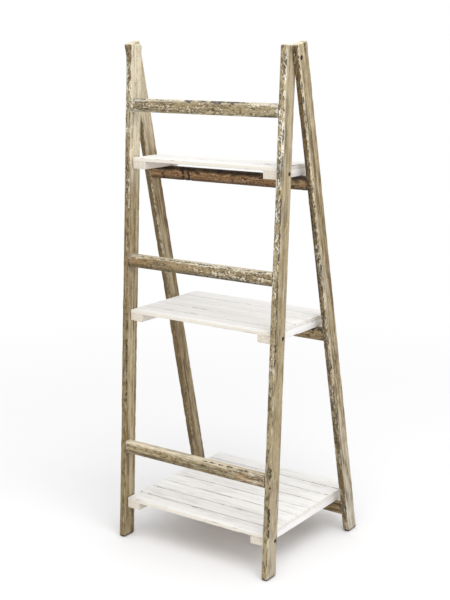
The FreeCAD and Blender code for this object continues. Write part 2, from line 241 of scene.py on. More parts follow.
def wear_board(board, half, depth, lot, scuffs=(), rubs=(), flakes=(), tints=(),
               stains=(), soil=(), pale=(), cracks=()):
    """Rubs and chips a board along its arrises and keeps on each point what the finish reads there.
    A lot is the board's seed and two more values: how brown its paint is and how much painted shade
    lies on it, or where its gap and its hidden face are. Places run along the board from its middle.
    A scuff bares one arris, a rub wears it to the undercoat and a flake lifts the paint of the front
    face; a rub or flake below 0 leaves the paint sounder. The other marks are read between their
    places; on a rail they give stains, a paler upper edge, partly a painted highlight, that turns to a
    painted shadow along the top where its amount is below 0, and painted shade along the lower edge."""
    vectors = board.verts.layers.float_vector
    place_layer = vectors.new("board_place")
    half_layer = vectors.new("board_half")
    lot_layer = vectors.new("board_lot")
    wear_layer = vectors.new("board_wear")
    rail_layer = vectors.new("rail_marks")
    tint_layer = board.verts.layers.float.new("board_tint")
    for vert in board.verts:
        across = math.copysign(1, vert.co.x)
        back = math.copysign(1, vert.co.y)
        along = vert.co.z
        vert[place_layer] = vert.co
        vert[half_layer] = half
        vert[lot_layer] = lot
        vert[tint_layer] = amount_at(along, tints)
        vert[rail_layer] = [amount_at(along, places) for places in (stains, soil, pale)]

        spot = Vector((across * ARRIS_STEP_ACROSS + lot[0], back * ARRIS_STEP_BACK, 0))
        broad = noise.noise(spot + Vector((0, 0, along * BROAD_WEAR_PER_METRE)))
        close = noise.noise(spot + Vector((lot[0], 0, along * CLOSE_WEAR_PER_METRE)))
        rub = ramp(RUB_MEAN + RUB_BROAD * broad + RUB_CLOSE * close, 0, 1)
        bare = ramp(BARE_BROAD * broad + close, *BARE_LEVELS)
        for amount in amounts_on((across, back), along, scuffs):
            bare = max(bare, amount * ramp(close, *SCUFF_LEVELS))
        far = max(half.x - abs(vert.co.x), half.y - abs(vert.co.y))
        near = max(0.0, 1 - far / WEAR_REACH) ** 2
        sunk = near * depth * (SUNK_ALWAYS + SUNK_RUBBED * rub + SUNK_BARE * min(bare, 1))
        vert.co -= Vector((across, back, 0)) * sunk

        rubbed = rub
        for amount in amounts_on((across, back), along, rubs):
            rubbed += amount * ramp(close + broad, *RUB_LEVELS)
        flake = 0.0
        for start, end, amount in flakes:
            if start < along < end and back < 0:
                flake = amount * ramp(close + broad, *FLAKE_LEVELS)
        for start, end in cracks:
            if start < along < end and back < 0:
                bare = CRACK_BARE
                vert.co.y += CRACK_DEPTH
        vert[wear_layer] = (rubbed + flake, bare, flake)


def smooth_faces(made):
    """Shades the faces smoothly, apart from the sharp edges between them."""
    for edge in made.edges:
        edge.smooth = edge.calc_face_angle(0) < SHARP_ANGLE
    for face in made.faces:
        face.smooth = True


def hang_piece(name, made, finish, body, node):
    """Makes a piece that moves with a body and stands in for a node of the CAD model."""
    mesh = bpy.data.meshes.new(name)
    made.to_mesh(mesh)
    made.free()
    piece = bpy.data.objects.new(name, mesh)
    bpy.context.scene.collection.objects.link(piece)
    mesh.materials.append(finish)
    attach(piece, body)
    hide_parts(node)


def hang_board(name, board, place, finish, body, node):
    """Puts a finished board in its place, no lower than the floor."""
    smooth_faces(board)
    bmesh.ops.transform(board, matrix=place, verts=board.verts)
    for vert in board.verts:
        vert.co.z = max(vert.co.z, 0)
    bmesh.ops.recalc_face_normals(board, faces=board.faces)
    hang_piece(name, board, finish, body, node)


class Amount:
    """What a shader node gives over a surface: a share, a length, a place or a colour."""

    def __init__(self, socket):
        self.socket = socket
        self.tree = socket.id_data

    def __add__(self, other):
        return reckon("ADD", self, other)

    def __sub__(self, other):
        return reckon("SUBTRACT", self, other)

    def __rsub__(self, other):
        return reckon("SUBTRACT", other, self)

    def __mul__(self, other):
        return reckon("MULTIPLY", self, other)

    def __abs__(self):
        return reckon("ABSOLUTE", self)

    __radd__ = __add__
    __rmul__ = __mul__


def feed(node, feeds):
    """Links amounts into a node's sockets, and sets plain values on them."""
    for socket, value in feeds.items():
        if isinstance(value, Amount):
            value.tree.links.new(value.socket, node.inputs[socket])
        else:
            node.inputs[socket].default_value = value


def add_node(tree, kind, feeds=None, **settings):
    made = tree.nodes.new("ShaderNode" + kind)
    for setting, value in settings.items():
        setattr(made, setting, value)
    feed(made, feeds or {})
    return made


def take(tree, kind, output, feeds=None, **settings):
    """One output of a new node."""
    return Amount(add_node(tree, kind, feeds, **settings).outputs[output])


def reckon(operation, *values, kind="Math"):
    tree = next(value.tree for value in values if isinstance(value, Amount))
    return take(tree, kind, 0, dict(enumerate(values)), operation=operation)


def reckon_place(operation, *values):
    return reckon(operation, *values, kind="VectorMath")


def most(first, *others):
    for other in others:
        first = reckon("MAXIMUM", first, other)
    return first


def least(first, second):
    return reckon("MINIMUM", first, second)


def split(vector):
    return [Amount(socket) for socket in add_node(vector.tree, "SeparateXYZ", {0: vector}).outputs]


def attribute(tree, name, output="Vector"):
    return take(tree, "Attribute", output, attribute_name=name)


def in_millimetres(place):
    return reckon_place("MULTIPLY", place, (1000, 1000, 1000))


def room_place(tree):
    return in_millimetres(take(tree, "TexCoord", "Object"))


def fade(value, start, end):
    """0 at start and 1 at end, with a soft climb."""
    feeds = {"Value": value, "From Min": start, "From Max": end}
    return take(value.tree, "MapRange", "Result", feeds, interpolation_type="SMOOTHSTEP")


def between(share, first, second):
    return take(first.tree, "Mix", 0, {0: share, 2: first, 3: second})


def mottle(place, size, detail=3, rough=0.5, along=1):
    """Cloudy variation with spots of about this size, in millimetres. The board's length is drawn in
    to a share, so that the spots come out long on it."""
    drawn = reckon_place("MULTIPLY", place, (1, 1, along))
    feeds = {"Vector": drawn, "Scale": 1 / size, "Detail": detail, "Roughness": rough}
    return take(place.tree, "TexNoise", 0, feeds)


def coat(under, over, cover):
    """One colour laid over another, as far as it covers."""
    return take(cover.tree, "Mix", 2, {0: cover, 6: under, 7: over}, data_type="RGBA")


def bump(height, strength, distance):
    feeds = {"Height": height, "Strength": strength, "Distance": distance}
    return take(height.tree, "Bump", "Normal", feeds)


def card(red, green, blue):
    """A colour of the paint card, 0 to 255, in the linear values that shaders use."""
    shares = [value / 255 for value in (red, green, blue)]
    return [((share + 0.055) / 1.055) ** 2.4 for share in shares] + [1.0]


def start_group(name, takes, gives):
    group = bpy.data.node_groups.new(name, "ShaderNodeTree")
    for in_out, sockets in (("INPUT", takes), ("OUTPUT", gives)):
        for socket, kind in sockets.items():
            group.interface.new_socket(socket, in_out=in_out, socket_type="NodeSocket" + kind)
    return group


def use_group(tree, group, feeds=None):
    made = add_node(tree, "Group", feeds, node_tree=group)
    return {socket.name: Amount(socket) for socket in made.outputs}


def start_finish(name):
    finish = bpy.data.materials.new(name)
    finish.use_nodes = True
    return finish, finish.node_tree, finish.node_tree.nodes["Principled BSDF"]


LOT_SPREAD = (431, 517, 613)
FRONT_DEPTH = (2.2, 0.4)


def board_lay_group():
    """Where a point lies on its board, in millimetres: its place, and how far it is from an arris."""
    gives = {
        "Place": "Vector", "Arris": "Float", "Front": "Float", "Width side": "Float",
        "Depth side": "Float", "Above foot": "Float", "From end": "Float", "Lot": "Vector",
        "Wear": "Vector", "Tint": "Float",
    }
    group = start_group("board_lay", {}, gives)
    place = in_millimetres(attribute(group, "board_place"))
    half = in_millimetres(attribute(group, "board_half"))
    lot = attribute(group, "board_lot")
    width_in, depth_in, end_in = split(reckon_place("SUBTRACT", half, reckon_place("ABSOLUTE", place)))
    off_corner = least(most(width_in, depth_in), end_in)
    width_side, depth_side, _ = split(reckon_place("DIVIDE", place, half))
    seed = split(lot)[0]
    spread = take(group, "CombineXYZ", 0, {0: seed, 1: seed, 2: seed})
    feed(group.nodes.new("NodeGroupOutput"), {
        "Place": reckon_place("ADD", place, reckon_place("MULTIPLY", spread, LOT_SPREAD)),
        "Arris": most(least(width_in, depth_in), off_corner),
        "Front": fade(depth_in, *FRONT_DEPTH),
        "Width side": width_side,
        "Depth side": depth_side,
        "Above foot": split(room_place(group))[2],
        "From end": end_in,
        "Lot": lot,
        "Wear": attribute(group, "board_wear"),
        "Tint": attribute(group, "board_tint", "Fac"),
    })
    return group


def long_grain_group():
    """Soft bands and fine fibres that run the length of a board."""
    group = start_group("long_grain", {"Place": "Vector"}, {"Band": "Float", "Fibre": "Float"})
    place = Amount(group.nodes.new("NodeGroupInput").outputs["Place"])
    feed(group.nodes.new("NodeGroupOutput"), {
        "Band": mottle(place, size=5.5, along=0.02),
        "Fibre": mottle(place, size=1.0, rough=0.6, along=0.05),
    })
    return group


BOARD_LAY = board_lay_group()
LONG_GRAIN = long_grain_group()


def read_board(tree):
    """What every board's finish is worked out from: its lay, its grain, its lot and its wear."""
    lay = use_group(tree, BOARD_LAY)
    wood = SimpleNamespace(**{name.lower().replace(" ", "_"): given for name, given in lay.items()})
    grain = use_group(tree, LONG_GRAIN, {"Place": wood.place})
    wood.band = grain["Band"]
    wood.fibre = grain["Fibre"]
    wood.lot = split(wood.lot)
    wood.rub, wood.bare, wood.flake = split(wood.wear)
    return wood


SIDE_PALE = card(205, 192, 164)
SIDE_GREIGE = card(164, 146, 110)
SIDE_BROWN = card(102, 80, 44)
FACE_KHAKI = card(166, 151, 117)
FACE_OLIVE = card(108, 90, 53)
FACE_CREAM = card(226, 215, 188)
BROWN_WASH = card(142, 106, 68)
BROWN_LIGHT = card(186, 152, 112)
BROWN_DARK = card(60, 41, 25)
SHADE_BROWN = card(104, 80, 36)
PALE_TOP = card(230, 219, 194)
# Painted shade along a rail's lower edge and painted shadow on its top
RAIL_SHADE = card(84, 72, 44)
PALE_FOOT = card(212, 208, 199)
CREAM = card(240, 234, 217)
# Dark wood where the paint is bared, and the painted shade and shadow on a brown rail
DARK_WOOD_AND_SHADOW = card(42, 34, 26)
SLATE = card(62, 65, 72)
# Heights above the floor, then reaches from an end and an arris, in millimetres
FOOT_TO_TOP = (250.0, 600.0)
SPECKS_FROM = (350.0, 700.0)
RUBS_FROM = (300.0, 700.0)
SLATE_FROM = (550.0, 750.0)
SLATE_UNTIL = (1010.0, 985.0)
LEG_TOP_FROM = (1060.0, 1080.0)
FOOT_DARK_RIM = (12.0, 7.5)
FOOT_RAGGED = 10.0
END_REACH = (2.0, 0.4)
ARRIS_REACH = (5.0, 0.5)
RUB_REACH = 2.8
BARE_REACH = 4.4


def read_paint(tree):
    """A painted board with the stains and the painted light and shade of a rail, and the mottling that its
    paint wears away by.
    """
    wood = read_board(tree)
    _, wood.brown, wood.shade = wood.lot
    wood.stain, wood.soil, wood.pale = split(attribute(tree, "rail_marks"))
    wood.unbrowned = 1.0 - wood.brown * 0.85
    wood.unshaded = 1.0 - wood.shade * 0.8
    wood.patch = mottle(wood.place, size=9.0, detail=4, rough=0.6, along=0.2)
    wood.cloud = mottle(wood.place, size=5.0, detail=4, rough=0.65, along=0.4)
    wood.speck = mottle(wood.place, size=2.6, rough=0.6, along=0.5)
    wood.zone = mottle(wood.place, size=22.0, detail=2, along=0.35)
    streak = mottle(wood.place, size=1.6, detail=4, rough=0.6, along=0.06)
    speck_share = (0.45 + wood.front * 0.55) * fade(wood.above_foot, *SPECKS_FROM)
    wood.speckled = between(speck_share, streak, wood.speck)
    wood.worn = between(0.4, wood.speckled, wood.patch)
    by_arris = fade(wood.arris, *ARRIS_REACH)
    wood.chipped = least(fade(wood.zone, 0.48, 0.62) + by_arris + wood.flake, 1.0)
    ragged = mottle(wood.place, size=3.0, detail=4, rough=0.65, along=0.4)
    wood.ragged = fade(ragged, 0.3, 0.7)
    wood.end = fade(wood.from_end, *END_REACH)
    wood.leg_top = fade(wood.above_foot, *LEG_TOP_FROM)
    return wood


def paint_colour(wood):
    """Khaki faces, darkened towards brown by each board's painted shade, streaked and flecked sides, and
    brown where a board or a stain is brown.
    """
    banded = between(0.45, wood.band, wood.patch)
    stripes = 0.4 + wood.shade * 0.7
    side = coat(SIDE_GREIGE, SIDE_PALE, fade(banded, 0.49, 0.57) * stripes)
    side = coat(side, SIDE_BROWN, fade(banded, 0.49, 0.4) * stripes)
    side = coat(side, SIDE_BROWN, fade(wood.speck, 0.54, 0.7) * 0.4)
    side = coat(side, SIDE_PALE, fade(wood.speck, 0.46, 0.3) * 0.6)
    face = coat(FACE_KHAKI, FACE_OLIVE, fade(wood.cloud, 0.48, 0.6))
    face = coat(face, SHADE_BROWN, wood.shade)
    lightened = between(0.5, banded, wood.speck)
    brown = coat(BROWN_WASH, BROWN_LIGHT, fade(lightened, 0.47, 0.6))
    brown = coat(brown, BROWN_DARK, fade(wood.cloud, 0.51, 0.66))
    stained = wood.stain * fade(wood.patch, 0.35, 0.5)
    return coat(coat(side, face, wood.front), brown, wood.brown + stained)


def tint_paint(wood, colour):
    """Blotchy paler colour where the tint is above 0, greyer towards the floor and warmer up high, and
    darker olive where it is below.
    """
    blotch = between(0.5, wood.speck, wood.patch)
    paler = (wood.tint - wood.front * 0.8) * fade(blotch, 0.3, 0.55)
    pale = coat(PALE_FOOT, PALE_TOP, fade(wood.above_foot, *FOOT_TO_TOP))
    colour = coat(colour, pale, most(paler, 0.0))
    darker = most(wood.tint * -0.8, 0.0) * (1.0 - wood.front * 0.5)
    return coat(colour, FACE_OLIVE, darker)


def chip_to_cream(wood):
    """How far the paint is chipped to its cream undercoat."""
    share = (0.4 + wood.front * 0.35) * wood.unbrowned * wood.unshaded * wood.chipped
    return fade(wood.worn, 0.52, 0.57) * share


def flake_paint(wood, colour):
    """Cream flakes on the front face, where flakes are marked."""
    fine = between(0.4, wood.cloud, wood.speck)
    flaked = fade(fine + wood.flake * 0.14, 0.61, 0.69) * wood.front * wood.unbrowned
    # Where painted shade lies along a rail's lower edge, the flakes take the duller cream of the face
    return coat(colour, coat(CREAM, FACE_CREAM, wood.soil), flaked * wood.unshaded * 0.9)


def rub_arrises(wood, colour):
    """Cream along the rubbed arrises and the sawn tops of the legs."""
    reach = wood.rub * wood.ragged * RUB_REACH * (1.0 + wood.shade * 2.2)
    rubbed = most(fade(wood.arris - reach, 0.4, -0.4), wood.end * wood.leg_top)
    cover = 0.4 + fade(wood.above_foot, *RUBS_FROM) * 0.45
    cover = cover * (1.0 - wood.brown * 0.5)
    return coat(colour, coat(CREAM, FACE_CREAM, wood.shade * 1.3), rubbed * cover)


def soil_rail(wood, colour):
    """Painted light and shade on a rail: a paler upper edge, partly rubbed paint and partly a painted
    highlight, that turns to a painted shadow along the top where its amount is below 0, and painted shade
    along the lower edge.
    """
    across = wood.width_side + (wood.cloud - 0.5) * 1.2
    upper = fade(across, 0.5, 0.75) * wood.pale
    colour = coat(colour, PALE_TOP, upper * 0.7)
    lower = fade(across, -0.2, -0.6) * wood.soil
    topped = fade(across, 0.3, 0.7) * (wood.pale * -1.0)
    return coat(colour, coat(RAIL_SHADE, DARK_WOOD_AND_SHADOW, wood.brown), most(lower, topped) * 0.85)


def bare_wood(wood):
    """How far dark wood shows: in chips, splits and bared arrises and beside joints, darker towards the
    floor at the foot; along the top of the rear rails and beside the front legs the darkened arrises are
    partly painted shadow and shade.
    """
    share = 0.35 + wood.front * 0.35 + wood.flake * 0.1 + wood.shade * 0.35
    pitted = fade(wood.worn - wood.flake * 0.04, 0.46, 0.4) * share * wood.chipped
    much_shaded = most((wood.shade - 0.5) * 4.0, 0.0)
    blot = fade(wood.cloud, 0.5, 0.43) * wood.front * much_shaded
    crooked = mottle(wood.place, size=7.0, detail=1, along=0.012)
    cleft = fade(abs(crooked - 0.5), 0.07, 0.02) * fade(wood.zone, 0.44, 0.6)
    reach = wood.bare * (0.1 + wood.ragged * 0.9) * BARE_REACH
    bared = fade(wood.arris - reach, 0.2, -0.5)
    foot = fade(wood.above_foot + wood.cloud * FOOT_RAGGED, *FOOT_DARK_RIM)
    joint_line = wood.end * (0.6 - wood.leg_top)
    return most(pitted, blot, cleft * 0.5, bared, foot, joint_line)


def under_paint(wood):
    """Dark wood, with slate-grey patches high on the boards that have neither stain nor shade."""
    slate = mottle(wood.place, size=14.0, detail=2, along=0.2)
    slate = fade(slate, 0.48, 0.6) * wood.unshaded * wood.unbrowned * 0.7
    slate = slate * fade(wood.above_foot, *SLATE_FROM) * fade(wood.above_foot, *SLATE_UNTIL)
    return coat(DARK_WOOD_AND_SHADOW, SLATE, slate * (1.0 - wood.stain))


def distressed_paint():
    """Khaki paint over cream over dark wood, worn away in streaks along the grain, with painted light and
    shade on the rails and on the shaded faces.
    """
    finish, tree, shader = start_finish("distressed_paint")
    wood = read_paint(tree)
    cream = chip_to_cream(wood)
    dark = bare_wood(wood)
    colour = tint_paint(wood, paint_colour(wood))
    colour = flake_paint(wood, coat(colour, FACE_CREAM, cream))
    colour = soil_rail(wood, rub_arrises(wood, colour))
    feed(shader, {
        "Base Color": coat(colour, under_paint(wood), dark * 0.88),
        "Roughness": 0.62 + dark * 0.2,
        "Specular IOR Level": 0.3,
        "Normal": bump(wood.speckled * 0.8 - dark - cream * 0.35, strength=0.6, distance=0.0006),
    })
    return finish


DISTRESSED_PAINT = distressed_paint()
FRONT_LEFT = (-1, -1)
FRONT_RIGHT = (1, -1)
FRONT_LEG_MARKS = {
    "left": {
        "lot": (0.31, 0.0, 0.4),
        "scuffs": [(FRONT_LEFT, -0.5, 0.0, 0.3), (FRONT_LEFT, 0.0, 0.5, 0.8),
                   (FRONT_RIGHT, 0.0, 0.2, 0.5), (FRONT_RIGHT, -0.24, -0.03, 0.8)],
        "flakes": [(-0.543, 0.2, -0.5), (0.2, 0.35, 0.2), (0.35, 0.5, 0.6)],
        "tints": [(-0.543, -0.6), (-0.42, -0.25), (0.2, -0.15), (0.31, 0.85), (0.543, 0.85)],
    },
    "right": {
        "lot": (1.47, 0.0, 0.0),
        "scuffs": [(FRONT_RIGHT, -0.345, -0.3, 1.3), (FRONT_RIGHT, -0.45, -0.385, 1.3),
                   (FRONT_RIGHT, -0.09, 0.13, 0.8), (FRONT_RIGHT, 0.13, 0.25, 0.9),
                   (FRONT_LEFT, 0.17, 0.26, 1.1), (FRONT_RIGHT, 0.25, 0.34, 0.9)],
        "rubs": [(FRONT_RIGHT, -0.1, 0.25, -0.8)],
        "flakes": [(-0.15, 0.19, 0.7), (0.19, 0.31, 0.8), (0.31, 0.42, 1.4), (0.42, 0.53, 0.8)],
        "tints": [(-0.543, 0.45), (-0.4, 0.15), (-0.2, 0.0), (0.0, -0.2), (0.25, 0.05), (0.543, 0.3)],
    },
}


def make_leg(node, side, middle, up, back, half, pivots, recess, marks, body):
    """A leg with a recess in its outer face at each pivot."""
    place = stand_board(middle, ACROSS, back, up)
    leg = saw_leg(half, place)
    for pivot in pivots:
        centre = Vector((middle.x + side * half.x, pivot.y, pivot.z))
        sink_recess(leg, side, place.inverted() @ centre, **recess)
    wear_board(leg, half, PAINT_WEAR_DEPTH, **marks)
    hang_board(node + "_board", leg, place, DISTRESSED_PAINT, body, node)


for side_name, side in SIDES.items():
    node = "front_leg_" + side_name
    half = Vector((LEG_HALF_WIDTH, LEG_HALF_DEPTH, FRONT_LEG_LENGTH / 2))
    foot_front = Vector((side * FRONT_LEG_MIDDLE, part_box(node)[0].y, 0))
    middle = foot_front + FRONT_UP * half.z + FRONT_BACK * half.y
    make_leg(node, side, middle, FRONT_UP, FRONT_BACK, half, PIVOTS.values(), PIVOT_RECESS,
             FRONT_LEG_MARKS[side_name], "front_frame")


# Front rungs
# Three painted rails butted between the front legs, fronts flush, on two glued dowels at each end.
# Their front edges are rounded over and knocked about the most, down to cream and slate undercoats.
RUNG_HALF_HEIGHT = 0.014
RUNG_HALF_THICKNESS = 0.0085
RUNG_ROUND = 0.004
RUNG_ROUND_STEPS = 5
FRONT_RUNG_HALF_LENGTH = 0.1835
TOP_FRONT = (1, -1)
BOTTOM_FRONT = (-1, -1)


def all_along(amount):
    """The same amount a metre each way from the middle, past the ends of any rung or shelf board."""
    return [(-1, amount), (1, amount)]


# Each rail's pale marks give its upper edge paler paint, partly rubbed and partly a painted highlight, and
# painted shade is laid along its lower edge
FRONT_RUNG_MARKS = {
    "lower": {
        "lot": (2.3, 0.1, 0.0),
        "scuffs": [(TOP_FRONT, -0.103, -0.004, 0.9), (BOTTOM_FRONT, -0.18, -0.1, 1.0)],
        "rubs": [(TOP_FRONT, -0.184, 0.184, 0.8)],
        "flakes": [(-0.184, -0.1, 0.8)],
        "tints": [(-0.184, -0.5), (-0.13, -0.3), (-0.1, 0.0), (0.184, 0.0)],
        "stains": [(-0.184, 0.6), (-0.13, 0.8), (-0.1, 0.0)],
        "soil": [(-0.184, 0.3), (-0.1, 0.4), (0.1, 0.7), (0.184, 0.5)],
        "pale": [(-0.184, 0.6), (0.0, 0.9), (0.184, 1.0)],
    },
    "middle": {
        "lot": (3.9, 0.1, 0.0),
        "scuffs": [(TOP_FRONT, -0.17, 0.15, 0.9), (BOTTOM_FRONT, -0.17, 0.05, 1.3)],
        "rubs": [(TOP_FRONT, -0.184, 0.184, 1.5), (BOTTOM_FRONT, -0.17, 0.05, 1.6)],
        "flakes": [(-0.184, -0.03, 0.9), (-0.03, 0.02, 0.6), (0.02, 0.07, 0.3)],
        "tints": [(-0.184, -0.9), (-0.05, -0.5), (0.05, -0.2), (0.184, -0.7)],
        "stains": [(-0.184, 0.3), (-0.05, 0.3), (0.1, 0.3), (0.16, 0.7), (0.184, 0.9)],
        "soil": [(-0.184, 0.5), (0.05, 0.8), (0.184, 0.9)],
        "pale": [(-0.184, 0.8), (0.184, 0.6)],
    },
    "upper": {
        "lot": (5.2, 0.0, 0.0),
        "scuffs": [(TOP_FRONT, -0.106, 0.042, 2.2), (TOP_FRONT, 0.11, 0.18, 1.1),
                   (BOTTOM_FRONT, -0.18, -0.14, 1.5), (BOTTOM_FRONT, 0.0, 0.1, 0.8)],
        "rubs": [(TOP_FRONT, -0.184, 0.184, 3.0), (BOTTOM_FRONT, 0.05, 0.184, 1.0)],
        "flakes": [(-0.184, 0.0, 0.4), (0.0, 0.184, 0.6)],
        "tints": [(-0.184, -0.1), (-0.05, -0.1), (0.1, -0.2), (0.184, -0.2)],
        "stains": [(-0.03, 0.0), (0.0, 0.2), (0.16, 0.2), (0.184, 0.0)],
        "soil": all_along(0.2),
        "pale": all_along(0.8),
    },
}


def make_rung(node, middle, up, back, half, marks, body, seat=None):
    """A rail between two legs, planed level at the seat if it has one; it runs from right to left."""
    place = stand_board(middle, up, back, -ACROSS)
    rung = saw_board(half)
    if seat:
        saw_off(rung, place, seat, UP)
    fronts = [edge for edge in long_edges(rung, half) if max(v.co.y for v in edge.verts) < 0]
    ease_edges(rung, fronts, RUNG_ROUND, RUNG_ROUND_STEPS)
    backs = [edge for edge in long_edges(rung, half) if min(v.co.y for v in edge.verts) > 0]
    ease_edges(rung, backs, ARRIS_ROUND)
    rule_lines(rung, half)
    wear_board(rung, half, PAINT_WEAR_DEPTH, **marks)
    hang_board(node + "_rail", rung, place, DISTRESSED_PAINT, body, node)


for level, marks in FRONT_RUNG_MARKS.items():
    node = "front_rung_" + level
    low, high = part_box(node)
    half = Vector((RUNG_HALF_HEIGHT, RUNG_HALF_THICKNESS, FRONT_RUNG_HALF_LENGTH))
    make_rung(node, (low + high) / 2, FRONT_UP, FRONT_BACK, half, marks, "front_frame")


# Rear legs
# Two longer boards of the same paint, outside the front legs and leaning forward to the hinge screws.
# The paint on their narrow front faces is browner, with painted shade laid over it where they sit
# set back beside the front legs, and a cream line shows along the rubbed arrises.
REAR_LEAN = math.radians(12.9)
REAR_LEG_MIDDLE = 0.2075
HINGE_FROM_REAR_TOP = 0.027
HINGE_FROM_REAR_FRONT = 0.008
HINGE_RECESS = {"radius": 0.005, "depth": 0.0035}
REAR_UP = Vector((0, -math.sin(REAR_LEAN), math.cos(REAR_LEAN)))
REAR_BACK = Vector((0, math.cos(REAR_LEAN), math.sin(REAR_LEAN)))
REAR_LEG_MARKS = {
    "left": {
        "lot": (6.1, 0.15, 0.65),
        "scuffs": [(FRONT_RIGHT, -0.3, 0.1, 0.6)],
        "tints": [(-0.56, -0.4), (0.0, -0.3), (0.25, -0.2), (0.38, 0.45), (0.56, 0.55)],
    },
    "right": {
        "lot": (7.7, 0.05, 0.7),
        # The scuffs along the inner front arris, beside the front leg, are partly bared wood and partly
        # painted shade in the corner between the legs
        "scuffs": [(FRONT_RIGHT, -0.45, -0.2, 0.7), (FRONT_LEFT, -0.3, 0.02, 1.4),
                   (FRONT_LEFT, 0.02, 0.2, 2.6), (FRONT_LEFT, 0.2, 0.33, 4.0),
                   (FRONT_LEFT, 0.33, 0.42, 2.0)],
        "flakes": [(-0.56, -0.2, 0.8), (-0.2, 0.15, 0.6)],
        "tints": [(-0.56, 0.6), (-0.4, 0.3), (-0.2, 0.0), (0.1, -0.3), (0.35, -0.1), (0.56, 0.1)],
    },
}

for side_name, side in SIDES.items():
    behind_hinge = 2 * LEG_HALF_DEPTH - HINGE_FROM_REAR_FRONT
    below_hinge = (HINGE.z + behind_hinge * math.sin(REAR_LEAN)) / math.cos(REAR_LEAN)
    half = Vector((LEG_HALF_WIDTH, LEG_HALF_DEPTH, (HINGE_FROM_REAR_TOP + below_hinge) / 2))
    middle = Vector((side * REAR_LEG_MIDDLE, HINGE.y, HINGE.z))
    middle += REAR_UP * (HINGE_FROM_REAR_TOP - half.z) + REAR_BACK * (half.y - HINGE_FROM_REAR_FRONT)
    make_leg("rear_leg_" + side_name, side, middle, REAR_UP, REAR_BACK, half, [HINGE], HINGE_RECESS,
             REAR_LEG_MARKS[side_name], "rear_frame")


# Rear rungs
# Three rails between the rear legs that carry the shelves; the rear top edge of each is planed level.
# They are browner than the front rungs, most of all the upper one, and cream shows at chipped edges.
# Two short cracks run across the front of the upper one.
REAR_RUNG_HALF_LENGTH = 0.2
REAR_RUNG_SETBACK = 0.003
RUNG_SEAT_WIDTH = 0.006
RUNG_SHELVES = {"lower": "bottom", "middle": "middle", "upper": "top"}
# On these rails the scuffs along the top front arris are a painted shadow under the shelf, pale marks below
# 0 darken the top as a painted shadow, and painted shade lies along the lower edge
RAIL_SCUFFS_AND_SHADOW = [(BOTTOM_FRONT, -0.2, 0.2, 0.9), (TOP_FRONT, -0.2, 0.2, 1.6)]
REAR_RUNG_MARKS = {
    "lower": {
        "lot": (8.3, 0.35, 0.45),
        "scuffs": RAIL_SCUFFS_AND_SHADOW,
        "soil": all_along(0.3),
        "pale": all_along(-0.3),
    },
    "middle": {
        "lot": (9.9, 0.3, 0.2),
        "scuffs": RAIL_SCUFFS_AND_SHADOW,
        "soil": all_along(0.3),
        "pale": all_along(-0.3),
    },
    "upper": {
        "lot": (11.2, 1.0, 0.35),
        "scuffs": [(BOTTOM_FRONT, -0.2, 0.2, 1.2), (TOP_FRONT, -0.2, 0.2, 1.6),
                   (BOTTOM_FRONT, 0.158, 0.168, 4)],
        "rubs": [(BOTTOM_FRONT, -0.1, 0.15, 1.0)],
        "stains": [(-0.2, -0.9), (-0.17, -0.8), (-0.14, 0.0)],
        "soil": all_along(0.6),
        "pale": all_along(-0.9),
        "cracks": [(0.0955, 0.1005), (0.1085, 0.1135)],
    },
}

for level, shelf in RUNG_SHELVES.items():
    seat_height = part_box(shelf + "_shelf_batten_left")[0].z
    rung_back = REAR_RUNG_SETBACK + 2 * RUNG_HALF_THICKNESS - HINGE_FROM_REAR_FRONT
    planed = RUNG_SEAT_WIDTH * math.sin(REAR_LEAN) * math.cos(REAR_LEAN)
    rise = HINGE.z + rung_back * math.sin(REAR_LEAN) - seat_height - planed
    half = Vector((RUNG_HALF_HEIGHT, RUNG_HALF_THICKNESS, REAR_RUNG_HALF_LENGTH))
    middle = Vector((0, HINGE.y, HINGE.z)) - REAR_UP * (rise / math.cos(REAR_LEAN) + half.x)
    middle += REAR_BACK * (rung_back - half.y)
    make_rung("rear_rung_" + level, middle, REAR_UP, REAR_BACK, half, REAR_RUNG_MARKS[level],
              "rear_frame", UP * seat_height)


# Dowels
# Plain beech dowels, glued two to a rung end and hidden in the wood of rung and leg.
# Their shape is the CAD model's own; only the finish is laid on here.
BEECH = card(206, 172, 128)
BEECH_FLECK = card(176, 138, 94)


def dowel_beech():
    finish, tree, shader = start_finish("dowel_beech")
    fibre = use_group(tree, LONG_GRAIN, {"Place": room_place(tree)})["Fibre"]
    feed(shader, {"Base Color": coat(BEECH, BEECH_FLECK, fade(fibre, 0.45, 0.7)), "Roughness": 0.7})
    return finish


DOWEL_BEECH = dowel_beech()
for node in ("front_rung_dowels", "rear_rung_dowels"):
    frame["nodes"][node].material_slots[0].material = DOWEL_BEECH


# Hinge screws and spacers
# Blackened steel screws that the two frames fold about: a cross-recessed head let into the rear leg
# and the point turned into the front leg, with a spacer ring between the two legs.
# The rings were painted over with the legs, and the paint is worn through in places.
HINGE_SHANK_RADIUS = 0.003
HINGE_SCREW = {
    "head_radius": 0.0045, "head_thickness": 0.003, "shank_radius": HINGE_SHANK_RADIUS, "length": 0.028,
}
HINGE_HEAD_FACE = 0.2145
HINGE_SPACER = {"radius": 0.008, "bore": HINGE_SHANK_RADIUS, "thickness": 0.0015}
SPACER_INNER_FACE = 0.1985
HEAD_SIDES = 32
HEAD_EASE = 0.0006
CROSS_WIDTH = 0.0012
CROSS_DEPTH = 0.0012
CROSS_SHARE = 0.6
FLAT_ON = 0.9
RING_EASE = 0.0003
BLACK_STEEL = card(52, 47, 42)
STEEL_SHEEN = card(86, 82, 78)
RUST = card(92, 58, 38)


